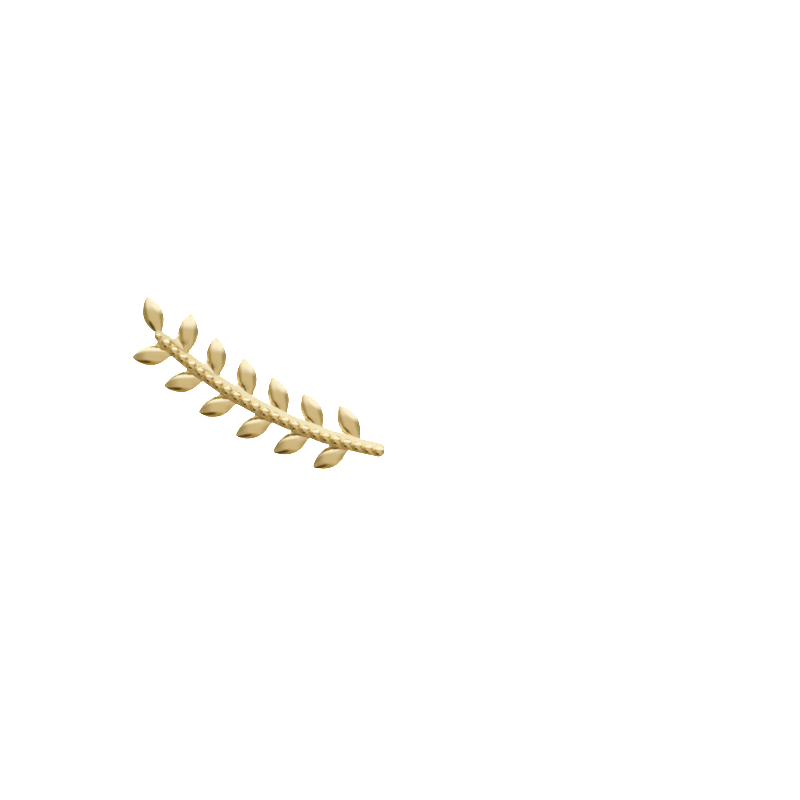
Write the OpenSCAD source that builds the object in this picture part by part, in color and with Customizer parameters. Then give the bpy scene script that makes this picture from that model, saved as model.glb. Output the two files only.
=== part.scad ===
/* [Stem] */
// Radius of the arc that the stem follows, seen from the front
arc_r = 33.7; // [25:0.1:60]
// Number of beads on the stem
bead_count = 24; // [22:1:26]
// Spacing of the beads along the stem
bead_pitch = 0.84; // [0.8:0.01:0.9]
// Diameter of the bead at the blunt end
bead_d_base = 0.88; // [0.8:0.01:1]
// Diameter of the bead at the end leaf
bead_d_tip = 0.81; // [0.75:0.01:1]
// How far the beads lie from the stem's centre line, towards the convex side
bead_shift = 0.1; // [0:0.01:0.15]
// Depth of the bar's ridge below the bead tops
ridge_depth = 0.26; // [0.2:0.01:0.32]
// Slope of the bar's front on both sides of its ridge, as an angle
front_slope = 20; // [10:0.5:26]
// Width of the bar at the blunt end
bar_w_base = 1.1; // [1:0.01:1.3]
// Width of the bar half way along
bar_w_mid = 1.2; // [1:0.01:1.3]
// Width of the bar at the end leaf
bar_w_tip = 1.06; // [0.9:0.01:1.2]
// Radius of the corners at the ends of the bar
bar_corner = 0.4; // [0.1:0.01:0.45]
// Depth from the bead tops to the flat back, at the blunt end
depth_base = 1.4; // [1.2:0.01:1.6]
// Depth from the bead tops to the flat back, at the end leaf
depth_tip = 1.0; // [0.95:0.01:1.4]

/* [Leaves] */
// Number of leaves on each side of the stem
leaf_pairs = 6; // [3:1:6]
// Length of a leaf from inside the stem to its point
leaf_l = 3.1; // [2.8:0.01:3.4]
// Width of a leaf
leaf_w = 1.61; // [1.3:0.01:1.8]
// Height of a leaf's domed front above its edge
leaf_crown = 0.5; // [0.2:0.01:0.6]
// Depth of a leaf's hull-shaped back below its edge
leaf_keel = 0.5; // [0.2:0.01:0.6]
// Half of the width of a leaf's neck
leaf_neck = 0.27; // [0.2:0.01:0.4]
// Mean angle between the leaves of the outer row and the stem
outer_angle = 47.2; // [40:0.1:55]
// Mean angle between the leaves of the inner row and the stem
inner_angle = 50.8; // [42:0.1:56]
// Angle by which a leaf's point leans back
leaf_droop = 0; // [-4:0.5:8]
// Angle by which a leaf's web side leans back
leaf_roll = 4; // [0:0.5:8]
// Distance from the blunt end to the first leaf of the outer row, on the convex side
outer_first = 2.84; // [2.4:0.01:3.2]
// Spacing of the leaves of the outer row
outer_pitch = 3.06; // [2.9:0.005:3.15]
// Distance from the blunt end to the first leaf of the inner row, on the concave side
inner_first = 2.17; // [1.9:0.01:3]
// Spacing of the leaves of the inner row
inner_pitch = 3.035; // [2.9:0.005:3.15]
// Angle between the end leaf and the stem, towards the concave side
end_leaf_angle = 27; // [0:0.5:40]
// Reach of a web from the root of its leaf
web_l = 1.6; // [1:0.01:1.8]
// Angle between a leaf and the line from its root to the point of its web
web_gap = 24; // [20:0.5:35]
// Thickness of a web
web_t = 0.34; // [0.2:0.01:0.5]

/* [Ear wire] */
// Diameter of the wire
wire_d = 0.8; // [0.6:0.01:1]
// Distance from the blunt end to the leg of the wire
wire_root = 2.34; // [2:0.01:3]
// Lean of the leg towards the blunt end
leg_lean = 8; // [0:0.5:12]
// Length of the leg from the stem's back to the main bend
leg_l = 3; // [2:0.05:4]
// Radius of the main bend
bend_r = 3.6; // [3:0.05:4.2]
// Angle of the main bend
bend_a = 115; // [105:0.5:118]
// Radius of the slow bend after the main bend
sweep_r = 25; // [15:1:60]
// Angle of the slow bend
sweep_a = 6.5; // [3:0.5:9]
// Length of the straight run that rises towards the branch
rise_l = 6; // [5:0.05:6.5]
// Radius of the bend near the free end
lip_r = 3.45; // [3:0.05:5]
// Angle of the bend near the free end, away from the branch
lip_a = 55; // [35:0.5:65]
// Length of the straight free end
lip_l = 0.2; // [0.1:0.05:1]
// Height of the solder round the foot of the leg
solder_h = 0.22; // [0.1:0.01:0.4]

/* [Lying on a table] */
// Angle between the front and an upright plane, leaning back
rest_lean = 20.8; // [0:0.1:40]
// Turn of the branch in the plane of its front
rest_turn = 4.8; // [-20:0.1:20]
// Place of the stem's arc relative to the middle of the footprint, left to right
rest_x = 1.111; // [-10:0.001:10]
// Place of the stem's arc relative to the middle of the footprint, front to back
rest_y = -4.017; // [-10:0.001:10]
// Height of the stem's arc above the table
rest_z = 2.908; // [0:0.001:10]

/* [Hidden] */
GOLD = [0.88, 0.76, 0.47];
BEAD_GOLD = [0.95, 0.86, 0.6];
WIRE_GOLD = [0.8, 0.68, 0.4];
stem_l = bead_count * bead_pitch;
wire_r = wire_d / 2;
// Distance of a leaf's root from the stem's centre line, inside the bar
ROOT_OFFSET = 0.35;
// Depth of a leaf's root as a share of the stem's depth
ROOT_SHARE = 0.62;
// Distance of the end leaf's root from the end of the stem
END_ROOT = 0.36;
// Distance of its root from the centre line, towards the concave side
END_SHIFT = 0.1;
// By how many degrees the angle grows from each leaf of a row to the next
OUTER_FAN = 0.4;
INNER_FAN = 2.3;
// What each leaf turns besides that, from the blunt end, as the branch was carved by hand
OUTER_TURNS = [-1, -1, 2.7, 0.9, -0.8, -0.7];
INNER_TURNS = [3.1, -2.6, -1.7, 0, 0.1, 1.1];
// Angle between a leaf and the line from its root to the foot of its web, inside the bar
WEB_FOOT = 60;
// Rings in a round end of the bar, and length of its rings in between
BAR_END_STEPS = 5;
BAR_STEP = 0.9;
// Sides of the cross-sections, and number of rings along a leaf
LEAF_SIDES = 16;
LEAF_STEPS = 11;
WIRE_SIDES = 16;
// A leaf ends just short of its point, which leaves the point slightly blunt
LEAF_END = 0.985;
// The foot of the wire starts this far inside the stem
FOOT_SINK = 0.4;
// Radius of the solder where it meets the stem
SOLDER_R = 0.52;
// Largest angle in a bend, and length in a straight run, from one ring of the wire to the next
BEND_STEP = 9;
RUN_STEP = 1.3;
// Steps in degrees that round off the free end of the wire
END_STEPS = [35, 65];
// Columns: straight length, radius of the bend after it, angle of that bend
WIRE_RUNS = [
    [FOOT_SINK + leg_l, bend_r, -bend_a],
    [0, sweep_r, -sweep_a],
    [rise_l, lip_r, lip_a],
    [lip_l, lip_r, 0],
];

// A size that changes evenly from the blunt end to the end leaf
function along(s, base, tip) = base + (tip - base) * s / stem_l;
function stem_depth(s) = along(s, depth_base, depth_tip);
function root_depth(s) = ROOT_SHARE * stem_depth(s);

// Angle of the stem's normal at distance s from the blunt end, 0 half way along
function stem_turn(s) = (stem_l / 2 - s) / arc_r * 180 / PI;

// The direction along the stem towards the end leaf, as an angle in plan
function stem_heading(s) = 180 + stem_turn(s);

// The point at distance s along the stem, offset towards the convex side
function in_plan(s, offset) =
    let (a = stem_turn(s), r = arc_r + offset)
    [r * sin(a), arc_r - r * cos(a)];
function on_stem(s, offset, depth) = concat(in_plan(s, offset), -depth);

// Joins a stack of equal rings of points into one closed solid
module skin(rings) {
    n = len(rings[0]);
    last = (len(rings) - 1) * n;
    sides = [
        for (i = [0 : n : last - n], j = [0 : n - 1])
        let (a = i + j, b = i + (j + 1) % n)
        each [[a, b, a + n], [b, b + n, a + n]]
    ];
    start = [for (j = [n - 1 : -1 : 0]) j];
    end = [for (j = [0 : n - 1]) last + j];
    polyhedron([for (ring = rings) each ring], concat([start], sides, [end]));
}

// Half of the bar's width, which draws in over the round corners of both ends
function round_in(s) = s < bar_corner ? bar_corner - sqrt(pow(bar_corner, 2) - pow(bar_corner - s, 2)) : 0;
function bar_half(s) =
    let (x = 2 * s / stem_l - 1, belly = bar_w_mid - (bar_w_base + bar_w_tip) / 2)
    (along(s, bar_w_base, bar_w_tip) + belly * (1 - x * x)) / 2 - round_in(s) - round_in(stem_l - s);

// Depth of the bar's front, which slopes both ways from the ridge under the beads
function front_depth(offset) = ridge_depth + abs(offset - bead_shift) * tan(front_slope);

// A cross-section of the bar: a flat back, upright sides and a front like a low roof
function bar_ring(s) =
    let (half = bar_half(s))
    [
        on_stem(s, half, front_depth(half)),
        on_stem(s, half, stem_depth(s)),
        on_stem(s, -half, stem_depth(s)),
        on_stem(s, -half, front_depth(-half)),
        on_stem(s, bead_shift, ridge_depth),
    ];

// The bar under the beads
module stem_bar() {
    steps = ceil((stem_l - 2 * bar_corner) / BAR_STEP);
    ends = [for (i = [0 : BAR_END_STEPS - 1]) bar_corner * (1 - cos(90 * i / BAR_END_STEPS))];
    color(GOLD)
    skin([
        for (s = ends) bar_ring(s),
        for (i = [0 : steps]) bar_ring(bar_corner + (stem_l - 2 * bar_corner) * i / steps),
        for (i = [len(ends) - 1 : -1 : 0]) bar_ring(stem_l - ends[i]),
    ]);
}

module beads() {
    color(BEAD_GOLD)
    for (i = [0 : bead_count - 1]) {
        s = (i + 0.5) * bead_pitch;
        r = along(s, bead_d_base, bead_d_tip) / 2;
        translate(on_stem(s, bead_shift, r)) sphere(r, $fn = 24);
    }
}

// Share of its full width that a leaf has at u, from 0 at the root to 1 at the point
function leaf_swell(u) = pow(sin(180 * pow(u, 0.975)), 0.78);

// Share of the full height that its front has at u
function leaf_dome(u) = pow(leaf_swell(u), 1.5);

// A cross-section of a leaf at u: a front with a broad flat top, a thin edge and a keel behind
function leaf_ring(u) =
    let (
        swell = leaf_swell(u),
        stalk = leaf_neck * (1 - u),
        half = pow(pow(swell * leaf_w / 2, 3) + pow(stalk, 3), 1 / 3),
        rise = max(leaf_dome(u) * leaf_crown, stalk),
        fall = max(swell * leaf_keel, stalk)
    )
    [for (j = [0 : LEAF_SIDES - 1])
        let (c = cos(-360 * j / LEAF_SIDES), s = sin(-360 * j / LEAF_SIDES))
        [
            u * leaf_l,
            half * sign(c) * pow(abs(c), s > 0 ? 0.7 : 0.9),
            s > 0 ? rise * pow(s, 1.5) : -fall * pow(-s, 1.1),
        ]];

module leaf() {
    color(GOLD)
    skin([for (i = [0 : LEAF_STEPS]) leaf_ring(LEAF_END * (1 - cos(180 * i / LEAF_STEPS)) / 2)]);
}

// The web that fills the corner between a leaf and the stem, at the level of the leaf's edge
module web(side) {
    color(WIRE_GOLD)
    translate([0, 0, -web_t])
    linear_extrude(web_t)
    polygon([for (a = [0, web_gap, WEB_FOOT]) sign(a) * web_l * [cos(a), -side * sin(a)]]);
}

// A leaf with its web: side is 1 on the convex side of the stem and -1 on the concave side
module side_leaf(s, side, angle) {
    translate(on_stem(s, side * ROOT_OFFSET, root_depth(s)))
    rotate([0, 0, stem_heading(s) + side * angle]) {
        rotate([side * leaf_roll, leaf_droop, 0]) leaf();
        web(side);
    }
}

module leaf_row(first, pitch, side, angle, fan, turns) {
    middle = (len(turns) - 1) / 2;
    for (i = [0 : leaf_pairs - 1])
        side_leaf(first + i * pitch, side, angle + fan * (i - middle) + turns[i]);
}

module end_leaf() {
    s = stem_l - END_ROOT;
    translate(on_stem(s, -END_SHIFT, root_depth(s)))
    rotate([0, 0, stem_heading(s) - end_leaf_angle])
    rotate([-leaf_roll, leaf_droop, 0])
    leaf();
}

// The wire's centre line as [distance along the stem, depth, heading], heading 90 straight back
function run_path(from, run) =
    let (
        h = from[2],
        corner = from + [run[0] * cos(h), run[0] * sin(h), 0],
        r = run[1] * sign(run[2]),
        steps = ceil(run[0] / RUN_STEP),
        turns = ceil(abs(run[2]) / BEND_STEP)
    )
    concat(
        [for (i = [1 : 1 : steps]) from + (corner - from) * i / steps],
        [for (i = [1 : 1 : turns])
            let (g = h + run[2] * i / turns)
            corner + [r * (sin(g) - sin(h)), r * (cos(h) - cos(g)), g - h]]
    );
function wire_path(from, i = 0) =
    i == len(WIRE_RUNS) ? [from] :
    let (part = run_path(from, WIRE_RUNS[i]))
    concat(i == 0 ? [from] : [], part, i == len(WIRE_RUNS) - 1 ? [] : wire_path(part[len(part) - 1], i + 1));

// A ring round the wire's centre line, moved ahead along it
function wire_ring(p, r, ahead = 0) =
    let (
        a = stem_heading(p[0]),
        forward = [cos(a) * cos(p[2]), sin(a) * cos(p[2]), -sin(p[2])],
        outward = [-sin(a), cos(a), 0],
        across = cross(forward, outward)
    )
    [for (j = [0 : WIRE_SIDES - 1])
        let (b = -360 * j / WIRE_SIDES)
        on_stem(p[0], 0, p[1]) + ahead * forward + r * (cos(b) * outward + sin(b) * across)];

// The ear wire: it follows the stem's arc behind the branch, so that the branch hides it
module ear_wire() {
    foot = [wire_root, stem_depth(wire_root) - FOOT_SINK, 90 + leg_lean];
    path = wire_path(foot);
    tip = path[len(path) - 1];
    color(WIRE_GOLD)
    skin(concat(
        [for (p = path) wire_ring(p, wire_r)],
        [for (a = END_STEPS) wire_ring(tip, wire_r * cos(a), wire_r * sin(a))]
    ));
}

module solder() {
    color(WIRE_GOLD)
    translate(on_stem(wire_root, 0, stem_depth(wire_root) - FOOT_SINK / 2))
    mirror([0, 0, 1])
    cylinder(h = solder_h + FOOT_SINK / 2, r1 = SOLDER_R, r2 = wire_r, $fn = 48);
}

// The branch is one casting, and the wire is soldered to its back
module leaf_branch_with_ear_wire() {
    translate([rest_x, rest_y, rest_z])
    rotate([90 - rest_lean, 0, 0])
    rotate([0, 0, rest_turn]) {
        stem_bar();
        beads();
        leaf_row(outer_first, outer_pitch, 1, outer_angle, OUTER_FAN, OUTER_TURNS);
        leaf_row(inner_first, inner_pitch, -1, inner_angle, INNER_FAN, INNER_TURNS);
        end_leaf();
        ear_wire();
        solder();
    }
}

leaf_branch_with_ear_wire();
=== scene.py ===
"""Gold leaf-branch ear climber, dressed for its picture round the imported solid.

Everything is in metres.
"""

import math

import bpy
from bpy.props import FloatProperty, FloatVectorProperty, IntProperty, PointerProperty
from mathutils import Matrix, Vector


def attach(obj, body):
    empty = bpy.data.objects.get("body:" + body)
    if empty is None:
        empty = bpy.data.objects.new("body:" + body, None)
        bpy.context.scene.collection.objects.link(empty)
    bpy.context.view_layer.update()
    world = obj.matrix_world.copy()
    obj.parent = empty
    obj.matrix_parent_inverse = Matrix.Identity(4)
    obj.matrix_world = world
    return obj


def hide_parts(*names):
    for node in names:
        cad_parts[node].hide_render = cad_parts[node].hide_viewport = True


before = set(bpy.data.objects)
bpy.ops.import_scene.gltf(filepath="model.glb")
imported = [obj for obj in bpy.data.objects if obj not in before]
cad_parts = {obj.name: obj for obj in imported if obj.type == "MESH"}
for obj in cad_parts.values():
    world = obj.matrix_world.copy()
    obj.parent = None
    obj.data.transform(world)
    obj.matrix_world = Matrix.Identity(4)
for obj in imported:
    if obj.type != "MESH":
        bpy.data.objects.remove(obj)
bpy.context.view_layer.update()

bl_info = {
    "name": "Leaf-branch ear climber",
    "version": (1, 0, 0),
    "blender": (4, 5, 0),
    "location": "3D View > Sidebar > Earring",
    "description": "Builds the branch, its beads and leaves, the ear wire and a small studio",
    "category": "Object",
}

NODE = "leaf_branch_with_ear_wire"
BODY = "root"
MM = 0.001


# Settings


def length(name, description, default):
    return FloatProperty(
        name=name,
        description=description,
        default=default * MM,
        min=0.0,
        subtype="DISTANCE",
        unit="LENGTH",
        precision=5,
    )


def angle(name, description, default):
    return FloatProperty(
        name=name,
        description=description,
        default=math.radians(default),
        subtype="ANGLE",
        unit="ROTATION",
    )


def share(name, description, default):
    return FloatProperty(
        name=name, description=description, default=default, min=0.0, max=1.0, subtype="FACTOR"
    )


def colour(name, description, default):
    return FloatVectorProperty(
        name=name, description=description, default=default, min=0.0, max=1.0, subtype="COLOR"
    )


def count(name, description, default):
    return IntProperty(name=name, description=description, default=default, min=1)


class StemSettings(bpy.types.PropertyGroup):
    """The bar and the row of beads on it"""

    arc_radius: length("Arc radius", "Radius of the arc that the stem follows", 33.7)
    beads: count("Beads", "Number of beads on the stem", 24)
    bead_pitch: length("Bead spacing", "Spacing of the beads along the stem", 0.84)
    bead_base: length("First bead", "Length along the stem of the bead at the blunt end", 0.94)
    bead_tip: length("Last bead", "Length along the stem of the bead at the end leaf", 0.86)
    bead_width: share("Bead width", "Width of a bead as a share of its length", 0.9)
    bead_height: share("Bead height", "Height of a bead as a share of its length", 0.94)
    last_bead: share("Last bead shrink", "Size of the very last bead as a share of its due", 0.7)
    bead_shift: length("Bead shift", "How far the beads lie towards the convex side", 0.1)
    ridge_depth: length("Ridge depth", "Bead tops to the ridge of the bar's front", 0.26)
    ridge_round: length("Ridge rounding", "Radius that rounds off the ridge", 0.07)
    front_slope: angle("Front slope", "Slope of the bar's front on both sides of its ridge", 20)
    width_base: length("Width at the blunt end", "Width of the bar at the blunt end", 1.1)
    width_mid: length("Width half way", "Width of the bar half way along", 1.2)
    width_tip: length("Width at the end leaf", "Width of the bar at the end leaf", 1.06)
    corner: length("Corner radius", "Radius of the corners at the ends of the bar", 0.4)
    taper: length("Tip taper", "How much each side draws in at the end leaf", 0.17)
    taper_run: length("Tip taper run", "Length of the bar that draws in at the end leaf", 1.5)
    edge: length("Edge radius", "Radius of the bar's long edges", 0.07)
    depth_base: length("Depth at the blunt end", "Bead tops to flat back, at the blunt end", 1.4)
    depth_tip: length("Depth at the end leaf", "Bead tops to flat back, at the end leaf", 1.0)

    @property
    def length(self):
        return self.beads * self.bead_pitch


class LeafSettings(bpy.types.PropertyGroup):
    """The leaves and the webs in their corners"""

    pairs: count("Leaves on each side", "Number of leaves on each side of the stem", 6)
    length: length("Leaf length", "From inside the stem to the leaf's point", 3.1)
    width: length("Leaf width", "Width of a leaf", 1.61)
    crown: length("Leaf crown", "Height of the domed front above the leaf's edge", 0.5)
    keel: length("Leaf keel", "Depth of the hull-shaped back below the leaf's edge", 0.5)
    neck: length("Leaf neck", "Half of the width of a leaf's neck", 0.27)
    outer_angle: angle("Outer angle", "Mean angle of the leaves on the convex side", 47.2)
    outer_fan: angle("Outer fan", "Growth of the angle from each outer leaf to the next", 0.4)
    inner_angle: angle("Inner angle", "Mean angle of the leaves on the concave side", 50.8)
    inner_fan: angle("Inner fan", "Growth of the angle from each inner leaf to the next", 2.3)
    droop: angle("Leaf droop", "Angle by which a leaf's point leans back", 0)
    roll: angle("Leaf roll", "Angle by which a leaf's web side leans back", 4)
    root_offset: length("Root offset", "Distance of a leaf's root from the centre line", 0.35)
    root_share: share("Root depth", "Depth of a leaf's root as a share of the stem's depth", 0.62)
    outer_first: length("First outer leaf", "Blunt end to the first leaf on the convex side", 2.84)
    outer_pitch: length("Outer spacing", "Spacing of the leaves on the convex side", 3.06)
    inner_first: length("First inner leaf", "Blunt end to the first leaf on the concave side", 2.17)
    inner_pitch: length("Inner spacing", "Spacing of the leaves on the concave side", 3.035)
    end_angle: angle("End leaf angle", "Angle between the end leaf and the stem", 27)
    end_root: length("End leaf root", "Distance of its root from the end of the stem", 0.36)
    end_shift: length("End leaf shift", "Distance of its root from the centre line", 0.1)
    web_reach: length("Web reach", "Reach of a web from the root of its leaf", 1.6)
    web_gap: angle("Web gap", "Angle between a leaf and the line to its web's point", 24)
    web_foot: angle("Web foot", "Angle between a leaf and the line to its web's foot", 60)
    web_thickness: length("Web thickness", "Thickness of a web", 0.34)
    web_crown: length("Web crown", "How far a web's front stands out beside the stem", 0.17)
    web_edge: length("Web edge", "How far the rounding of a web's edge goes back", 0.12)
    web_round: share("Web rounding", "How far the rounding reaches towards a web's middle", 0.2)
    outer_tilt: angle("Outer web tilt", "Slope of the outer webs, down from the stem", -14)
    inner_tilt: angle("Inner web tilt", "Slope of the inner webs, down from the stem", 24)
    web_hollow: length("Web hollow", "How far the free edge of a web curves in", 0.1)


class WireSettings(bpy.types.PropertyGroup):
    """The ear wire behind the branch"""

    diameter: length("Wire diameter", "Diameter of the wire", 0.8)
    root: length("Leg position", "Distance from the blunt end to the leg", 2.34)
    sink: length("Leg sink", "How far inside the stem the leg starts", 0.4)
    lean: angle("Leg lean", "Lean of the leg towards the blunt end", 8)
    leg: length("Leg length", "Length of the leg up to the main bend", 3.0)
    bend_radius: length("Main bend radius", "Radius of the main bend", 3.6)
    bend_angle: angle("Main bend angle", "Angle of the main bend", 115)
    sweep_radius: length("Slow bend radius", "Radius of the slow bend", 25)
    sweep_angle: angle("Slow bend angle", "Angle of the slow bend", 6.5)
    rise: length("Rising run", "Length of the straight run that rises to the branch", 6.0)
    lip_radius: length("Lip radius", "Radius of the bend near the free end", 3.45)
    lip_angle: angle("Lip angle", "Angle of the bend near the free end", 55)
    lip: length("Free end", "Length of the straight free end", 0.2)
    solder_radius: length("Solder radius", "Radius of the solder on the stem's back", 0.52)
    solder_height: length("Solder height", "Height of the solder up the leg", 0.22)


class FinishSettings(bpy.types.PropertyGroup):
    """The gold plate"""

    gold: colour("Gold", "Colour of the plate on open faces", (0.95, 0.80, 0.47))
    # Painted shade: a darker gold put where the surface lies deep, between beads and in corners
    painted_shade: colour("Recess gold", "Deeper colour between beads and in corners", (0.62, 0.43, 0.16))
    wire_gold: colour("Wire gold", "Colour of the drawn wire", (0.86, 0.66, 0.31))
    roughness: share("Roughness", "Roughness of the satin leaves", 0.2)
    bead_roughness: share("Bead roughness", "Roughness of the polished beads", 0.14)
    spread: share("Roughness spread", "How much the roughness varies over the metal", 0.08)


class RestSettings(bpy.types.PropertyGroup):
    """How the earring lies on the table"""

    lean: angle("Lean", "Angle between the front and an upright plane", 20.8)
    turn: angle("Turn", "Turn of the branch in the plane of its front", 4.8)
    place: FloatVectorProperty(
        name="Place",
        description="Where the middle of the stem's arc lies in the row frame",
        default=(1.111 * MM, -4.017 * MM, 2.908 * MM),
        subtype="TRANSLATION",
        unit="LENGTH",
        precision=6,
    )


class StudioSettings(bpy.types.PropertyGroup):
    """Camera, floor and light"""

    distance: length("Camera distance", "From the picture's middle to the camera", 450)
    span: length("Picture width", "Width of the picture at the front of the branch", 61.54)
    roll: angle("Camera roll", "Turn of the picture against the branch", 27.5)
    aim_x: length("Aim along the branch", "Place of the picture's middle, to the right", 9.17)
    aim_y: length("Aim across the branch", "Place of the picture's middle, upwards", 5.53)
    aim_depth: length("Aim depth", "Depth of the picture's middle behind the bead tops", 0.7)
    floor_size: length("Floor size", "Side of the square floor", 6000)
    floor_colour: colour("Floor colour", "Colour of the pale floor", (0.9, 0.9, 0.9))
    lamp_size: length("Lamp size", "Side of each square soft lamp", 400)
    lamp_distance: length("Lamp distance", "From the earring to each soft lamp", 500)
    front_tilt: angle("Front lamp tilt", "Angle between the front lamp and the one overhead", 55)
    lamp_power: FloatProperty(
        name="Lamp power",
        description="Power of each soft lamp",
        default=24.0,
        min=0.0,
        subtype="POWER",
        unit="POWER",
    )
    sky: colour("Sky", "Light of the studio behind the cards", (0.66, 0.587, 0.443))


SETTINGS = {
    "earring_stem": StemSettings,
    "earring_leaf": LeafSettings,
    "earring_wire": WireSettings,
    "earring_finish": FinishSettings,
    "earring_rest": RestSettings,
    "earring_studio": StudioSettings,
}


# The branch lies flat in its own plane while it is made: X towards the blunt end, Y towards the
# hollow side of the arc, Z to the viewer, and depth counts down from the bead tops.


def along(s, stem, base, tip):
    return base + (tip - base) * s / stem.length


def stem_turn(s, stem):
    return (stem.length / 2 - s) / stem.arc_radius


def on_stem(s, offset, depth, stem):
    turn, radius = stem_turn(s, stem), stem.arc_radius + offset
    return Vector((radius * math.sin(turn), stem.arc_radius - radius * math.cos(turn), -depth))


def rest_matrix(rest):
    tip_up = Matrix.Rotation(math.pi / 2 - rest.lean, 4, "X")
    return Matrix.Translation(rest.place) @ tip_up @ Matrix.Rotation(rest.turn, 4, "Z")


# Node trees


def add(tree, kind, inputs=None, **settings):
    """A node with its inputs set or linked: a socket as a value makes a link."""
    node = tree.nodes.new(kind)
    for key, value in settings.items():
        setattr(node, key, value)
    for key, value in (inputs or {}).items():
        if isinstance(value, bpy.types.NodeSocket):
            tree.links.new(value, node.inputs[key])
        else:
            node.inputs[key].default_value = value
    return node


def calc(tree, operation, *values):
    return add(tree, "ShaderNodeMath", dict(enumerate(values)), operation=operation).outputs[0]


def xyz(tree, x=0.0, y=0.0, z=0.0):
    return add(tree, "ShaderNodeCombineXYZ", {"X": x, "Y": y, "Z": z}).outputs[0]


def vectors(tree, operation, first, second):
    node = add(tree, "ShaderNodeVectorMath", {0: first, 1: second}, operation=operation)
    return node.outputs["Value" if operation == "DOT_PRODUCT" else "Vector"]


def mixed(tree, factor, low, high):
    """A mix of two colours: 6, 7 and 2 are the colour sockets of a Mix node."""
    node = add(tree, "ShaderNodeMix", {"Factor": factor, 6: low, 7: high}, data_type="RGBA")
    return node.outputs[2]


def new_group(name, kind, inputs, outputs):
    """An empty group with its sockets, its input node and its output node."""
    tree = bpy.data.node_groups.new(name, kind)
    for in_out, sockets in (("INPUT", inputs), ("OUTPUT", outputs)):
        for socket_name, socket_type in sockets.items():
            tree.interface.new_socket(socket_name, in_out=in_out, socket_type=socket_type)
    return tree, tree.nodes.new("NodeGroupInput").outputs, tree.nodes.new("NodeGroupOutput").inputs


FLOAT, INTEGER, VECTOR = "NodeSocketFloat", "NodeSocketInt", "NodeSocketVector"
GEOMETRY, MATERIAL, OBJECT = "NodeSocketGeometry", "NodeSocketMaterial", "NodeSocketObject"


def place_group():
    """Turns a distance along the stem into a point and the turn of the stem there."""
    tree, given, out = new_group(
        "place_on_stem",
        "GeometryNodeTree",
        {name: FLOAT for name in ("Distance", "Offset", "Depth", "Stem Length", "Arc Radius")},
        {"Position": VECTOR, "Turn": FLOAT},
    )
    half = calc(tree, "MULTIPLY", given["Stem Length"], 0.5)
    left = calc(tree, "SUBTRACT", half, given["Distance"])
    turn = calc(tree, "DIVIDE", left, given["Arc Radius"])
    radius = calc(tree, "ADD", given["Arc Radius"], given["Offset"])
    up = calc(tree, "MULTIPLY", radius, calc(tree, "COSINE", turn))
    point = xyz(
        tree,
        calc(tree, "MULTIPLY", radius, calc(tree, "SINE", turn)),
        calc(tree, "SUBTRACT", given["Arc Radius"], up),
        calc(tree, "MULTIPLY", given["Depth"], -1.0),
    )
    tree.links.new(point, out["Position"])
    tree.links.new(turn, out["Turn"])
    return tree


# Inputs of a row of copies, whose size and depth change evenly from the blunt end to the end leaf
ROW_INPUTS = {
    "First": FLOAT,
    "Spacing": FLOAT,
    "Offset": FLOAT,
    "Stem Length": FLOAT,
    "Arc Radius": FLOAT,
    "Base Size": FLOAT,
    "Tip Size": FLOAT,
}


def stem_row(tree, given, points, depth_scale):
    """Moves points to even distances along the stem: the points, their turn, the size there."""
    index = tree.nodes.new("GeometryNodeInputIndex").outputs[0]
    distance = calc(tree, "MULTIPLY_ADD", index, given["Spacing"], given["First"])
    part = calc(tree, "DIVIDE", distance, given["Stem Length"])
    size = add(
        tree,
        "ShaderNodeMapRange",
        {0: part, "To Min": given["Base Size"], "To Max": given["Tip Size"]},
        clamp=False,
    ).outputs[0]
    place = add(
        tree,
        "GeometryNodeGroup",
        {
            "Distance": distance,
            "Depth": calc(tree, "MULTIPLY", size, depth_scale),
            **{name: given[name] for name in ("Stem Length", "Arc Radius", "Offset")},
        },
        node_tree=tree_named("place_on_stem", place_group),
    )
    placed = add(
        tree,
        "GeometryNodeSetPosition",
        {"Geometry": points, "Position": place.outputs["Position"]},
    )
    return placed.outputs[0], place.outputs["Turn"], size


def finish_tree(tree, instances, material, out):
    real = add(tree, "GeometryNodeRealizeInstances", {0: instances}).outputs[0]
    painted = add(tree, "GeometryNodeSetMaterial", {"Geometry": real, "Material": material})
    tree.links.new(painted.outputs[0], out["Geometry"])


def bead_tree():
    """Beads along the stem that grow smaller towards the end leaf, all with their tops level."""
    tree, given, out = new_group(
        "bead_row",
        "GeometryNodeTree",
        {
            **ROW_INPUTS,
            "Count": INTEGER,
            "Width": FLOAT,
            "Height": FLOAT,
            "Last Size": FLOAT,
            "Roundness": INTEGER,
            "Material": MATERIAL,
        },
        {"Geometry": GEOMETRY},
    )
    line = add(tree, "GeometryNodeMeshLine", {"Count": given["Count"], "Offset": (0, 0, 0)})
    half_height = calc(tree, "MULTIPLY", given["Height"], 0.5)
    points, turn, size = stem_row(tree, given, line.outputs[0], half_height)
    ball = add(tree, "GeometryNodeMeshIcoSphere", {"Subdivisions": given["Roundness"]})
    index = tree.nodes.new("GeometryNodeInputIndex").outputs[0]
    last = calc(tree, "COMPARE", index, calc(tree, "SUBTRACT", given["Count"], 1.0), 0.5)
    lost = calc(tree, "MULTIPLY", last, calc(tree, "SUBTRACT", 1.0, given["Last Size"]))
    kept = calc(tree, "SUBTRACT", 1.0, lost)
    half = calc(tree, "MULTIPLY", calc(tree, "MULTIPLY", size, 0.5), kept)
    halves = xyz(
        tree,
        half,
        calc(tree, "MULTIPLY", half, given["Width"]),
        calc(tree, "MULTIPLY", half, given["Height"]),
    )
    beads = add(
        tree,
        "GeometryNodeInstanceOnPoints",
        {
            "Points": points,
            "Instance": ball.outputs[0],
            "Rotation": xyz(tree, z=turn),
            "Scale": halves,
        },
    )
    finish_tree(tree, beads.outputs[0], given["Material"], out)
    return tree


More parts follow.
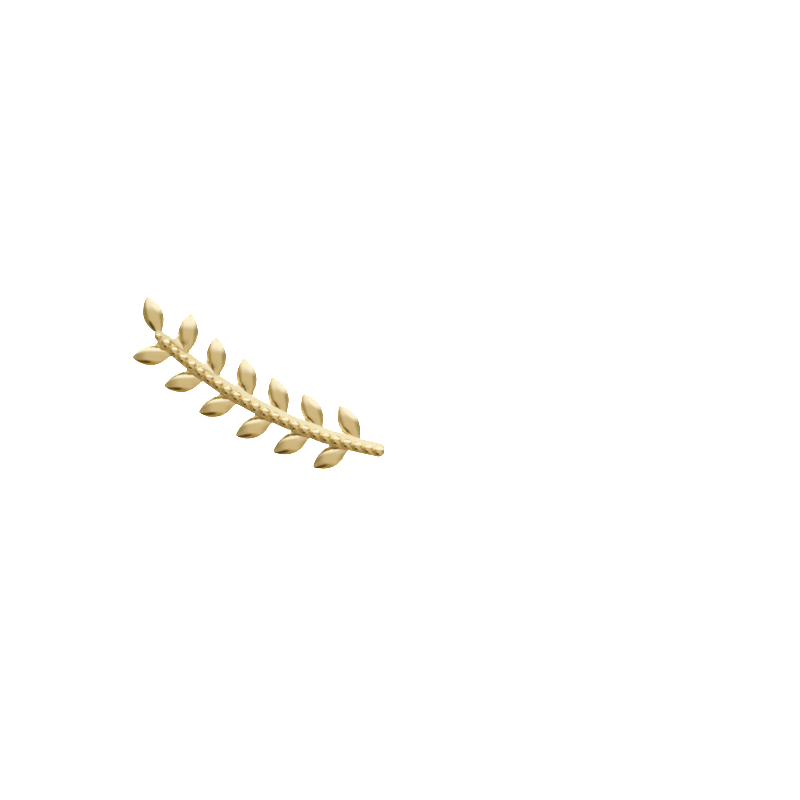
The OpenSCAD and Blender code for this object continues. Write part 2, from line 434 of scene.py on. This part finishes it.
def shape_row_tree():
    """Copies of one shape along the stem, each turned away from it and tipped back.

    The points of the row come in as a mesh, whose attribute carved_turn holds what each copy
    turns besides the even fan.
    """
    tree, given, out = new_group(
        "shape_row",
        "GeometryNodeTree",
        {
            "Points": GEOMETRY,
            **ROW_INPUTS,
            "Shape": OBJECT,
            "Angle": FLOAT,
            "Fan": FLOAT,
            "Middle": FLOAT,
            "Droop": FLOAT,
            "Roll": FLOAT,
            "Material": MATERIAL,
        },
        {"Geometry": GEOMETRY},
    )
    points, turn, _ = stem_row(tree, given, given["Points"], 1.0)
    shape = add(tree, "GeometryNodeObjectInfo", {"Object": given["Shape"]})
    index = tree.nodes.new("GeometryNodeInputIndex").outputs[0]
    steps = calc(tree, "SUBTRACT", index, given["Middle"])
    carved = add(
        tree, "GeometryNodeInputNamedAttribute", {"Name": "carved_turn"}, data_type="FLOAT"
    )
    fanned = calc(tree, "MULTIPLY_ADD", steps, given["Fan"], given["Angle"])
    own = calc(tree, "ADD", fanned, carved.outputs["Attribute"])
    heading = calc(tree, "ADD", calc(tree, "ADD", turn, math.pi), own)
    copies = add(
        tree,
        "GeometryNodeInstanceOnPoints",
        {
            "Points": points,
            "Instance": shape.outputs["Geometry"],
            "Rotation": xyz(tree, given["Roll"], given["Droop"], heading),
        },
    )
    finish_tree(tree, copies.outputs[0], given["Material"], out)
    return tree


# Width at which the wire's rounded free end stops, as a share of the wire's own
FREE_END_LEAST = 0.04


def wire_tree():
    """A round wire along a curve, with its far end rounded off."""
    tree, given, out = new_group(
        "round_wire",
        "GeometryNodeTree",
        {"Path": OBJECT, "Radius": FLOAT, "Step": FLOAT, "Sides": INTEGER, "Material": MATERIAL},
        {"Geometry": GEOMETRY},
    )
    path = add(tree, "GeometryNodeObjectInfo", {"Object": given["Path"]}).outputs["Geometry"]
    fine = add(
        tree, "GeometryNodeResampleCurve", {"Curve": path, "Length": given["Step"]}, mode="LENGTH"
    ).outputs[0]
    total = add(tree, "GeometryNodeCurveLength", {0: fine}).outputs[0]
    here = tree.nodes.new("GeometryNodeSplineParameter").outputs["Length"]
    left = calc(tree, "SUBTRACT", total, here)
    short = calc(tree, "SUBTRACT", 1.0, calc(tree, "DIVIDE", left, given["Radius"]))
    short = calc(tree, "MAXIMUM", short, 0.0)
    round_off = calc(tree, "SQRT", calc(tree, "SUBTRACT", 1.0, calc(tree, "POWER", short, 2.0)))
    ring = add(
        tree,
        "GeometryNodeCurvePrimitiveCircle",
        {"Resolution": given["Sides"], "Radius": given["Radius"]},
    )
    tube = add(
        tree,
        "GeometryNodeCurveToMesh",
        {
            "Curve": fine,
            "Profile Curve": ring.outputs[0],
            "Scale": calc(tree, "MAXIMUM", round_off, FREE_END_LEAST),
            "Fill Caps": True,
        },
    )
    finish_tree(tree, tube.outputs[0], given["Material"], out)
    return tree


def tree_named(name, make):
    return bpy.data.node_groups.get(name) or make()


def linked(name, data):
    """A new object in the scene."""
    made = bpy.data.objects.new(name, data)
    bpy.context.scene.collection.objects.link(made)
    return made


def grown(name, tree, values, start=None):
    """The plain mesh that a tree makes from the named values and, for a row, its start points."""
    host = linked(name + "_host", start or bpy.data.meshes.new(name + "_host"))
    modifier = host.modifiers.new(name, "NODES")
    modifier.node_group = tree
    sockets = {
        item.name: item.identifier
        for item in tree.interface.items_tree
        if item.item_type == "SOCKET" and item.in_out == "INPUT"
    }
    for key, value in values.items():
        modifier[sockets[key]] = value
    return baked(host, name)


def baked(host, name):
    """The host's evaluated mesh. The host and its modifiers are removed."""
    depsgraph = bpy.context.evaluated_depsgraph_get()
    mesh = bpy.data.meshes.new_from_object(host.evaluated_get(depsgraph), depsgraph=depsgraph)
    mesh.name = name
    bpy.data.objects.remove(host)
    if not mesh.polygons:
        raise RuntimeError(f"{name} came out empty")
    return mesh


def piece(name, mesh, sharp=None):
    """A finished piece in the row frame, riding on the earring and standing for its solid."""
    mesh.transform(rest_matrix(bpy.context.scene.earring_rest))
    mesh.shade_smooth()
    if sharp is not None:
        mesh.set_sharp_from_angle(angle=sharp)
    made = linked(name, mesh)
    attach(made, BODY)
    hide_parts(NODE)
    return made


def skin(name, rings):
    """A closed mesh through equal rings of points, with a centre point in each end."""
    sides = len(rings[0])
    points = [point for ring in rings for point in ring]
    faces = []
    for i in range(len(rings) - 1):
        for j in range(sides):
            a, b = i * sides + j, i * sides + (j + 1) % sides
            faces.append((a, b, b + sides, a + sides))
    last = (len(rings) - 1) * sides
    for ring, first, flip in ((rings[0], 0, True), (rings[-1], last, False)):
        points.append(sum(ring, Vector()) / sides)
        centre = len(points) - 1
        for j in range(sides):
            edge = (first + j, first + (j + 1) % sides)
            faces.append((*(edge[::-1] if flip else edge), centre))
    mesh = bpy.data.meshes.new(name)
    mesh.from_pydata(points, [], faces)
    return mesh


# Gold


def painted_shade_group():
    """A mask of painted shade: 0 on the open front, growing to 1 in the depths behind it."""
    tree, given, out = new_group(
        "painted_shade_mask",
        "ShaderNodeTree",
        {"Point": VECTOR, "Front": VECTOR, "Inwards": VECTOR, "Shallow": FLOAT, "Deep": FLOAT},
        {"Mask": FLOAT},
    )
    offset = vectors(tree, "SUBTRACT", given["Point"], given["Front"])
    depth = vectors(tree, "DOT_PRODUCT", offset, given["Inwards"])
    ramp = add(
        tree,
        "ShaderNodeMapRange",
        {0: depth, "From Min": given["Shallow"], "From Max": given["Deep"]},
        interpolation_type="SMOOTHSTEP",
    )
    tree.links.new(ramp.outputs[0], out["Mask"])
    return tree


# Noise for each metre: a drift of about a millimetre, and the grain that tumbling leaves
DRIFT_SCALE, GRAIN_SCALE = 900.0, 14000.0
DRIFT_RELIEF = 14.0  # height of the drift as a multiple of the grain's
LEAST_ROUGHNESS = 0.02


def satin_group():
    """Roughness that drifts over the metal, and the fine height of a tumbled, plated surface."""
    tree, given, out = new_group(
        "satin_plate",
        "ShaderNodeTree",
        {"Point": VECTOR, "Roughness": FLOAT, "Spread": FLOAT},
        {"Roughness": FLOAT, "Height": FLOAT},
    )
    drift, grain = (
        add(
            tree,
            "ShaderNodeTexNoise",
            {"Vector": given["Point"], "Scale": scale, "Detail": detail, "Roughness": roughness},
        ).outputs[0]
        for scale, detail, roughness in ((DRIFT_SCALE, 3.0, 0.55), (GRAIN_SCALE, 2.0, 0.6))
    )
    centred = calc(tree, "SUBTRACT", drift, 0.5)
    rough = calc(tree, "MULTIPLY_ADD", centred, given["Spread"], given["Roughness"])
    tree.links.new(calc(tree, "MAXIMUM", rough, LEAST_ROUGHNESS), out["Roughness"])
    tree.links.new(calc(tree, "MULTIPLY_ADD", drift, DRIFT_RELIEF, grain), out["Height"])
    return tree


def gold_material(name, tone, roughness, shallow, deep, bump):
    """Plated gold, with painted shade in the recesses and a satin that drifts over the surface."""
    scene = bpy.context.scene
    finish, rest = scene.earring_finish, rest_matrix(scene.earring_rest)
    material = bpy.data.materials.new(name)
    material.use_nodes = True
    tree = material.node_tree
    tree.nodes.clear()
    point = tree.nodes.new("ShaderNodeTexCoord").outputs["Object"]
    painted_shade = add(
        tree,
        "ShaderNodeGroup",
        {
            "Point": point,
            "Front": rest.translation,
            "Inwards": rest.to_3x3() @ Vector((0, 0, -1)),
            "Shallow": shallow * MM,
            "Deep": deep * MM,
        },
        node_tree=tree_named("painted_shade_mask", painted_shade_group),
    )
    satin = add(
        tree,
        "ShaderNodeGroup",
        {"Point": point, "Roughness": roughness, "Spread": finish.spread},
        node_tree=tree_named("satin_plate", satin_group),
    )
    # Painted shade: the gold darkens towards the shade tone the deeper the surface lies
    tint = mixed(tree, painted_shade.outputs["Mask"], (*tone, 1.0), (*finish.painted_shade, 1.0))
    relief = add(
        tree,
        "ShaderNodeBump",
        {"Strength": 1.0, "Distance": bump * MM, "Height": satin.outputs["Height"]},
    ).outputs[0]
    shader = add(
        tree,
        "ShaderNodeBsdfPrincipled",
        {
            "Base Color": tint,
            "Metallic": 1.0,
            "Roughness": satin.outputs["Roughness"],
            "Normal": relief,
        },
    )
    surface = tree.nodes.new("ShaderNodeOutputMaterial")
    tree.links.new(shader.outputs[0], surface.inputs["Surface"])
    return material


# Columns: colour setting, roughness setting, depths in mm where the painted shade tone starts
# and is full, height in mm of the fine relief
GOLDS = {
    "bead_gold": ("gold", "bead_roughness", 0.42, 0.85, 0.0006),
    "leaf_gold": ("gold", "roughness", 1.1, 2.2, 0.0012),
    "bar_gold": ("gold", "roughness", 0.5, 2.2, 0.0012),
    "web_gold": ("gold", "bead_roughness", 1.2, 2.4, 0.0012),
    "wire_gold": ("wire_gold", "roughness", 30.0, 60.0, 0.0008),
}


def gold(name):
    if name in bpy.data.materials:
        return bpy.data.materials[name]
    tone, roughness, shallow, deep, bump = GOLDS[name]
    finish = bpy.context.scene.earring_finish
    return gold_material(
        name, getattr(finish, tone), getattr(finish, roughness), shallow, deep, bump
    )


# Pieces

BEAD_ROUNDNESS = 5  # subdivisions of a bead's ball

# Steps along the bar, round each of its corners, and across half of its front
BAR_RUN_STEPS, BAR_CORNER_STEPS, BAR_FRONT_STEPS = 64, 8, 10
BAR_LEAST_HALF = 0.02 * MM
# Exponent of the taper: the higher, the closer to its end the bar draws in
TAPER_POWER = 1.5
# The rounding of the bar's long edges, and how sharp an edge has to be to get it
EDGE_SEGMENTS, EDGE_ANGLE = 4, math.radians(40)
# Angles past which an edge is shaded as a sharp one
SHARP, SOLDER_SHARP = math.radians(35), math.radians(50)

LEAF_RINGS, LEAF_SIDES = 48, 96
# Share of a leaf's length where its last ring stands, just short of the point
LEAF_END = 0.985
# Exponents of a leaf's outline: where it is widest, how full it is, how its front's height falls
LEAF_BELLY, LEAF_FULLNESS, LEAF_DOME = 0.975, 0.78, 1.5
# Exponent that blends a leaf with its neck: the higher, the shorter the blend
NECK_BLEND = 3
# Exponents of a leaf's cross-section: its front has a broad flat top and steep flanks
FRONT_BREADTH, FRONT_SLOPE = 0.7, 1.5
BACK_BREADTH, BACK_SLOPE = 0.9, 1.1
# What each leaf turns besides the even fan, in degrees from the blunt end on, as the branch was
# carved by hand
CARVED_TURNS = {
    "outer": (-1.0, -1.0, 2.7, 0.9, -0.8, -0.7),
    "inner": (3.1, -2.6, -1.7, 0.0, 0.1, 1.1),
}

WEB_FREE_STEPS, WEB_EDGE_RINGS = 10, 6

# Spacing of the points along the wire: on its path, and on the mesh
PATH_STEP, WIRE_STEP = 0.1 * MM, 0.05 * MM
WIRE_SIDES = 32
SOLDER_SIDES, SOLDER_STEPS = 48, 8
SOLDER_SINK = 0.1 * MM
# Radius of the solder's top as a share of the wire's, and the exponent of its hollow flank
SOLDER_TOP, SOLDER_HOLLOW = 0.99, 0.6


def row_values(stem, first, spacing, offset, base_size, tip_size):
    return {
        "First": first,
        "Spacing": spacing,
        "Offset": offset,
        "Stem Length": stem.length,
        "Arc Radius": stem.arc_radius,
        "Base Size": base_size,
        "Tip Size": tip_size,
    }


def bar_half(s, stem):
    """Half of the bar's width: fullest half way along, and drawn in over the round ends."""
    corner, x = stem.corner, 2 * s / stem.length - 1
    belly = stem.width_mid - (stem.width_base + stem.width_tip) / 2
    half = (along(s, stem, stem.width_base, stem.width_tip) + belly * (1 - x * x)) / 2
    for gap in (s, stem.length - s):
        if gap < corner:
            half -= corner - math.sqrt(max(corner**2 - (corner - gap) ** 2, 0.0))
    left = max(1 - (stem.length - s) / stem.taper_run, 0.0)
    return max(half - stem.taper * left**TAPER_POWER, BAR_LEAST_HALF)


def bar_front(offset, stem):
    """Depth of the bar's front: it slopes both ways from the rounded ridge under the beads."""
    away = math.hypot(offset - stem.bead_shift, stem.ridge_round) - stem.ridge_round
    return stem.ridge_depth + away * math.tan(stem.front_slope)


def bar_ring(s, stem):
    """A cross-section of the bar: a flat back, upright sides, a front that slopes from a ridge."""
    half, back = bar_half(s, stem), along(s, stem, stem.depth_base, stem.depth_tip)
    front = [
        on_stem(s, offset, bar_front(offset, stem), stem)
        for offset in (
            half * i / BAR_FRONT_STEPS for i in range(-BAR_FRONT_STEPS, BAR_FRONT_STEPS + 1)
        )
    ]
    return [on_stem(s, half, back, stem), on_stem(s, -half, back, stem), *front]


class EARRING_OT_stem_bar(bpy.types.Operator):
    """Builds the bar under the beads: an arc with a ridged front, a flat back and round ends"""

    bl_idname = "earring.stem_bar"
    bl_label = "Stem bar"

    def execute(self, context):
        stem = context.scene.earring_stem
        corner, run = stem.corner, stem.length - 2 * stem.corner
        ends = [
            corner * (1 - math.cos(math.pi / 2 * i / BAR_CORNER_STEPS))
            for i in range(BAR_CORNER_STEPS)
        ]
        stations = ends + [corner + run * i / BAR_RUN_STEPS for i in range(BAR_RUN_STEPS + 1)]
        stations += [stem.length - s for s in reversed(ends)]
        host = linked("stem_bar_host", skin("stem_bar_host", [bar_ring(s, stem) for s in stations]))
        bevel = host.modifiers.new("edges", "BEVEL")
        bevel.width = stem.edge
        bevel.segments = EDGE_SEGMENTS
        bevel.limit_method = "ANGLE"
        bevel.angle_limit = EDGE_ANGLE
        mesh = baked(host, "stem_bar")
        mesh.materials.append(gold("bar_gold"))
        piece("stem_bar", mesh, sharp=SHARP)
        return {"FINISHED"}


class EARRING_OT_beads(bpy.types.Operator):
    """Builds the row of beads along the front of the bar"""

    bl_idname = "earring.beads"
    bl_label = "Beads"

    def execute(self, context):
        stem = context.scene.earring_stem
        pitch = stem.bead_pitch
        sizes = stem.bead_base, stem.bead_tip
        values = row_values(stem, pitch / 2, pitch, stem.bead_shift, *sizes)
        values |= {
            "Count": stem.beads,
            "Width": stem.bead_width,
            "Height": stem.bead_height,
            "Last Size": stem.last_bead,
            "Roundness": BEAD_ROUNDNESS,
            "Material": gold("bead_gold"),
        }
        piece("stem_beads", grown("stem_beads", tree_named("bead_row", bead_tree), values))
        return {"FINISHED"}


def leaf_swell(u):
    """Share of its full width that a leaf has at u, which is 0 at the root, 1 at the point."""
    return math.sin(math.pi * u**LEAF_BELLY) ** LEAF_FULLNESS


def leaf_dome(u):
    """Share of the full height that its front has at u."""
    return leaf_swell(u) ** LEAF_DOME


def with_neck(size, neck):
    """A size of the leaf where the neck still shows: the two run softly into each other."""
    return (size**NECK_BLEND + neck**NECK_BLEND) ** (1 / NECK_BLEND)


def leaf_mesh(leaf):
    """One leaf with its root at the origin and its point along X: domed front, thin edge, keel."""
    rings = []
    for i in range(LEAF_RINGS + 1):
        u = LEAF_END * (1 - math.cos(math.pi * i / LEAF_RINGS)) / 2
        swell, neck = leaf_swell(u), leaf.neck * (1 - u)
        half = with_neck(swell * leaf.width / 2, neck)
        rise = with_neck(leaf_dome(u) * leaf.crown, neck)
        fall = with_neck(swell * leaf.keel, neck)
        ring = []
        for j in range(LEAF_SIDES):
            a = -2 * math.pi * j / LEAF_SIDES
            c, s = math.cos(a), math.sin(a)
            y = half * math.copysign(abs(c) ** (FRONT_BREADTH if s > 0 else BACK_BREADTH), c)
            z = rise * s**FRONT_SLOPE if s > 0 else -fall * (-s) ** BACK_SLOPE
            ring.append(Vector((u * leaf.length, y, z)))
        rings.append(ring)
    return skin("leaf_shape", rings)


def web_mesh(leaf, side):
    """The web in the corner between a leaf and the stem: a hollow free edge, a tilted front."""
    spread, tilt = (
        (leaf.outer_angle, leaf.outer_tilt) if side > 0 else (leaf.inner_angle, leaf.inner_tilt)
    )
    point, foot = (
        leaf.web_reach * Vector((math.cos(a), -side * math.sin(a), 0))
        for a in (leaf.web_gap, leaf.web_foot)
    )
    inwards = (point + foot).normalized()
    outline = [Vector((0, 0, 0))]
    for i in range(WEB_FREE_STEPS + 1):
        t = i / WEB_FREE_STEPS
        outline.append(foot.lerp(point, t) - leaf.web_hollow * math.sin(math.pi * t) * inwards)
    if side < 0:
        outline.reverse()
    middle = sum(outline, Vector()) / len(outline)
    lean = math.pi / 2 - spread
    outwards = Vector((math.cos(lean), side * math.sin(lean), 0))
    rings = [[p + Vector((0, 0, -leaf.web_thickness)) for p in outline]]
    for i in range(WEB_EDGE_RINGS + 1):
        t = math.pi / 2 * i / WEB_EDGE_RINGS
        front = leaf.web_crown - leaf.web_edge * (1 - math.sin(t))
        ring = []
        for p in outline:
            p = middle.lerp(p, 1 - leaf.web_round * (1 - math.cos(t)))
            raised = p + Vector((0, 0, front))
            drop = math.tan(tilt) * (p.dot(outwards) - leaf.root_offset)
            ring.append(raised - Vector((0, 0, drop)))
        rings.append(ring)
    return skin("web_shape", rings)


def root_depths(stem, leaf):
    """Depth of the leaves' roots at the blunt end and at the end leaf."""
    return leaf.root_share * stem.depth_base, leaf.root_share * stem.depth_tip


def side_rows(stem, leaf):
    """For each side of the stem: its name, its side, its leaves' own turns, its row's values."""
    for name, side in (("outer", 1), ("inner", -1)):
        first, spacing, spread, fan = (
            getattr(leaf, f"{name}_{key}") for key in ("first", "pitch", "angle", "fan")
        )
        turns, offset = CARVED_TURNS[name], side * leaf.root_offset
        values = row_values(stem, first, spacing, offset, *root_depths(stem, leaf))
        values |= {
            "Angle": side * spread,
            "Fan": side * fan,
            "Middle": (len(turns) - 1) / 2,
        }
        yield name, side, [side * turn for turn in turns[: leaf.pairs]], values


def shape_row(name, mesh, turns, values):
    """A row of one shape: turns says in degrees what each copy turns besides the even fan."""
    shape = bpy.data.objects.new(name + "_shape", mesh)
    start = bpy.data.meshes.new(name + "_start")
    start.from_pydata([(0, 0, 0)] * len(turns), [], [])
    carved = start.attributes.new("carved_turn", "FLOAT", "POINT")
    for slot, turn in zip(carved.data, turns):
        slot.value = math.radians(turn)
    values = {**values, "Shape": shape}
    made = grown(name, tree_named("shape_row", shape_row_tree), values, start)
    bpy.data.objects.remove(shape)
    return made


class EARRING_OT_leaves(bpy.types.Operator):
    """Builds the two rows of leaves and the end leaf"""

    bl_idname = "earring.leaves"
    bl_label = "Leaves"

    def execute(self, context):
        stem, leaf = context.scene.earring_stem, context.scene.earring_leaf
        shared = {"Droop": leaf.droop, "Material": gold("leaf_gold")}
        for name, side, turns, values in side_rows(stem, leaf):
            name = f"{name}_leaves"
            values |= {**shared, "Roll": side * leaf.roll}
            piece(name, shape_row(name, leaf_mesh(leaf), turns, values))
        first, offset = stem.length - leaf.end_root, -leaf.end_shift
        values = row_values(stem, first, 0.0, offset, *root_depths(stem, leaf))
        values |= {**shared, "Roll": -leaf.roll}
        values |= {"Angle": -leaf.end_angle, "Fan": 0.0, "Middle": 0.0}
        piece("end_leaf", shape_row("end_leaf", leaf_mesh(leaf), [0.0], values))
        return {"FINISHED"}


class EARRING_OT_webs(bpy.types.Operator):
    """Builds the webs that join each leaf to the stem"""

    bl_idname = "earring.webs"
    bl_label = "Leaf webs"

    def execute(self, context):
        stem, leaf = context.scene.earring_stem, context.scene.earring_leaf
        for name, side, turns, values in side_rows(stem, leaf):
            name = f"{name}_webs"
            values |= {"Droop": 0.0, "Roll": 0.0, "Material": gold("web_gold")}
            piece(name, shape_row(name, web_mesh(leaf, side), turns, values), sharp=SHARP)
        return {"FINISHED"}


def wire_path(wire, stem):
    """The wire's centre line: it follows the stem's arc, so that the branch hides it."""
    # Columns: straight length, radius of the bend after it, angle of that bend
    runs = (
        (wire.sink + wire.leg, wire.bend_radius, -wire.bend_angle),
        (0.0, wire.sweep_radius, -wire.sweep_angle),
        (wire.rise, wire.lip_radius, wire.lip_angle),
        (wire.lip, wire.lip_radius, 0.0),
    )
    s = wire.root
    depth = along(s, stem, stem.depth_base, stem.depth_tip) - wire.sink
    heading = math.pi / 2 + wire.lean
    points = [on_stem(s, 0, depth, stem)]
    for straight, radius, turn in runs:
        arc = radius * abs(turn)
        for distance, bend in ((straight, 0.0), (arc, turn)):
            number = math.ceil(distance / PATH_STEP)
            for _ in range(number):
                heading += bend / number / 2
                s += distance / number * math.cos(heading)
                depth += distance / number * math.sin(heading)
                heading += bend / number / 2
                points.append(on_stem(s, 0, depth, stem))
    return points


def curve_object(name, points):
    curve = bpy.data.curves.new(name, "CURVE")
    curve.dimensions = "3D"
    spline = curve.splines.new("POLY")
    spline.points.add(len(points) - 1)
    for slot, point in zip(spline.points, points):
        slot.co = (*point, 1.0)
    return bpy.data.objects.new(name, curve)


def solder_mesh(stem, wire):
    """The solder at the foot of the wire: it runs up the leg, which leans, in a hollow curve."""
    back = along(wire.root, stem, stem.depth_base, stem.depth_tip)
    centre = on_stem(wire.root, 0, back, stem)
    foot, top = wire.solder_radius, wire.diameter / 2 * SOLDER_TOP
    lean = wire.solder_height * math.tan(wire.lean)
    # Columns: height above the stem's back, radius, shift towards the blunt end
    levels = [(-SOLDER_SINK, foot, 0.0)]
    for i in range(SOLDER_STEPS + 1):
        b = math.pi / 2 * i / SOLDER_STEPS
        radius = foot - (foot - top) * (1 - math.cos(b)) ** SOLDER_HOLLOW
        levels.append((wire.solder_height * math.sin(b), radius, lean * math.sin(b)))
    turns = [-2 * math.pi * j / SOLDER_SIDES for j in range(SOLDER_SIDES)]
    rings = [
        [
            centre + Vector((shift + radius * math.cos(a), radius * math.sin(a), -height))
            for a in turns
        ]
        for height, radius, shift in levels
    ]
    return skin("solder", rings)


class EARRING_OT_ear_wire(bpy.types.Operator):
    """Builds the bent ear wire and the solder at its foot"""

    bl_idname = "earring.ear_wire"
    bl_label = "Ear wire"

    def execute(self, context):
        stem, wire = context.scene.earring_stem, context.scene.earring_wire
        path = curve_object("wire_path", wire_path(wire, stem))
        values = {
            "Path": path,
            "Radius": wire.diameter / 2,
            "Step": WIRE_STEP,
            "Sides": WIRE_SIDES,
            "Material": gold("wire_gold"),
        }
        mesh = grown("ear_wire", tree_named("round_wire", wire_tree), values)
        bpy.data.objects.remove(path)
        piece("ear_wire", mesh)

        mesh = solder_mesh(stem, wire)
        mesh.materials.append(gold("wire_gold"))
        piece("solder", mesh, sharp=SOLDER_SHARP)
        return {"FINISHED"}


# Studio

# Soft cards round the earring, seen from the camera. Columns: bearing in the picture in degrees,
# 0 right and 90 up; angle from the line to the camera; radius; softness; light in red, green, blue
CARDS = (
    (0, 180, 62, 18, (0.34, 0.30, 0.19)),
    (242, 92, 52, 14, (0.41, 0.275, 0.08)),
    (184, 80, 36, 20, (0.31, 0.262, 0.14)),
    (2, 84, 36, 22, (0.36, 0.305, 0.18)),
    (240, 64, 22, 7, (0.08, 0.045, 0.007)),
    (84, 92, 60, 15, (1.05, 1.14, 1.36)),
)
SENSOR_WIDTH = 36.0  # millimetres, as Blender counts them
CLIP_START, CLIP_END = 0.01, 20.0
FLOOR_ROUGHNESS = 0.9


def card_group():
    """The mask of a soft round card on the sky: it falls with the angle from the card's middle."""
    tree, given, out = new_group(
        "soft_card",
        "ShaderNodeTree",
        {"Direction": VECTOR, "Middle": VECTOR, "Radius": FLOAT, "Softness": FLOAT},
        {"Mask": FLOAT},
    )
    cosine = vectors(tree, "DOT_PRODUCT", given["Direction"], given["Middle"])
    away = calc(tree, "ARCCOSINE", cosine)
    ramp = add(
        tree,
        "ShaderNodeMapRange",
        {
            0: away,
            "From Min": calc(tree, "SUBTRACT", given["Radius"], given["Softness"]),
            "From Max": calc(tree, "ADD", given["Radius"], given["Softness"]),
            "To Min": 1.0,
            "To Max": 0.0,
        },
        interpolation_type="SMOOTHSTEP",
    )
    tree.links.new(ramp.outputs[0], out["Mask"])
    return tree


def studio_axes(studio, rest):
    """Right, up and towards the camera in the row frame, for the picture's roll."""
    turned = rest_matrix(rest).to_3x3() @ Matrix.Rotation(studio.roll, 3, "Z")
    return [turned @ Vector(axis) for axis in ((1, 0, 0), (0, 1, 0), (0, 0, 1))]


def make_world(studio, axes):
    world = bpy.data.worlds.new("soft_studio")
    bpy.context.scene.world = world
    world.use_nodes = True
    tree = world.node_tree
    tree.nodes.clear()
    direction = tree.nodes.new("ShaderNodeTexCoord").outputs["Generated"]
    glow = (*studio.sky, 1.0)
    right, up, back = axes
    for bearing, polar, radius, softness, light in CARDS:
        b, p = math.radians(bearing), math.radians(polar)
        middle = math.sin(p) * (math.cos(b) * right + math.sin(b) * up) + math.cos(p) * back
        card = add(
            tree,
            "ShaderNodeGroup",
            {
                "Direction": direction,
                "Middle": middle,
                "Radius": math.radians(radius),
                "Softness": math.radians(softness),
            },
            node_tree=tree_named("soft_card", card_group),
        )
        glow = mixed(tree, card.outputs["Mask"], glow, (*light, 1.0))
    background = add(tree, "ShaderNodeBackground", {"Color": glow, "Strength": 1.0})
    out = tree.nodes.new("ShaderNodeOutputWorld")
    tree.links.new(background.outputs[0], out.inputs["Surface"])


def make_floor(studio):
    half = studio.floor_size / 2
    mesh = bpy.data.meshes.new("floor")
    corners = [(-half, -half, 0), (half, -half, 0), (half, half, 0), (-half, half, 0)]
    mesh.from_pydata(corners, [], [(0, 1, 2, 3)])
    paint = bpy.data.materials.new("pale_floor")
    paint.use_nodes = True
    shader = paint.node_tree.nodes["Principled BSDF"]
    shader.inputs["Base Color"].default_value = (*studio.floor_colour, 1.0)
    shader.inputs["Roughness"].default_value = FLOOR_ROUGHNESS
    shader.inputs["Specular IOR Level"].default_value = 0.0
    mesh.materials.append(paint)
    floor = linked("floor", mesh)
    floor.visible_glossy = False


def make_lamps(studio):
    """A lamp overhead and one in front, which fill each other's shadows on the floor."""
    for name, tilt in (("top_lamp", 0.0), ("front_lamp", studio.front_tilt)):
        lamp = bpy.data.lights.new(name, "AREA")
        lamp.size = studio.lamp_size
        lamp.energy = studio.lamp_power
        holder = linked(name, lamp)
        away = Matrix.Translation((0, 0, studio.lamp_distance))
        holder.matrix_world = Matrix.Rotation(tilt, 4, "X") @ away
        holder.visible_glossy = False


def make_camera(studio, rest, axes):
    aim = rest_matrix(rest) @ Vector((studio.aim_x, studio.aim_y, -studio.aim_depth))
    lens = bpy.data.cameras.new("camera")
    lens.sensor_width = SENSOR_WIDTH
    lens.lens = SENSOR_WIDTH * studio.distance / studio.span
    lens.clip_start, lens.clip_end = CLIP_START, CLIP_END
    camera = linked("camera", lens)
    turned = Matrix(axes).transposed().to_4x4()
    camera.matrix_world = Matrix.Translation(aim + axes[2] * studio.distance) @ turned
    bpy.context.scene.camera = camera


class EARRING_OT_studio(bpy.types.Operator):
    """Sets up the pale floor, the soft light and the camera"""

    bl_idname = "earring.studio"
    bl_label = "Studio"

    def execute(self, context):
        scene = context.scene
        studio, rest = scene.earring_studio, scene.earring_rest
        axes = studio_axes(studio, rest)
        make_world(studio, axes)
        make_floor(studio)
        make_lamps(studio)
        make_camera(studio, rest, axes)
        scene.view_settings.view_transform = "Standard"
        return {"FINISHED"}


OPERATORS = (
    EARRING_OT_studio,
    EARRING_OT_stem_bar,
    EARRING_OT_beads,
    EARRING_OT_leaves,
    EARRING_OT_webs,
    EARRING_OT_ear_wire,
)


class EARRING_PT_panel(bpy.types.Panel):
    """Lists the steps that build the earring"""

    bl_idname = "EARRING_PT_panel"
    bl_label = "Earring"
    bl_space_type = "VIEW_3D"
    bl_region_type = "UI"
    bl_category = "Earring"

    def draw(self, context):
        for step in OPERATORS:
            self.layout.operator(step.bl_idname)
        for name, group in SETTINGS.items():
            box = self.layout.box()
            settings = getattr(context.scene, name)
            for key in group.__annotations__:
                box.prop(settings, key)


CLASSES = (*SETTINGS.values(), *OPERATORS, EARRING_PT_panel)


def register():
    for made in CLASSES:
        bpy.utils.register_class(made)
    for name, group in SETTINGS.items():
        setattr(bpy.types.Scene, name, PointerProperty(type=group))


def unregister():
    for name in SETTINGS:
        delattr(bpy.types.Scene, name)
    for made in reversed(CLASSES):
        bpy.utils.unregister_class(made)


def main():
    register()
    for step in OPERATORS:
        group, name = step.bl_idname.split(".")
        getattr(getattr(bpy.ops, group), name)()


if __name__ == "__main__":
    main()
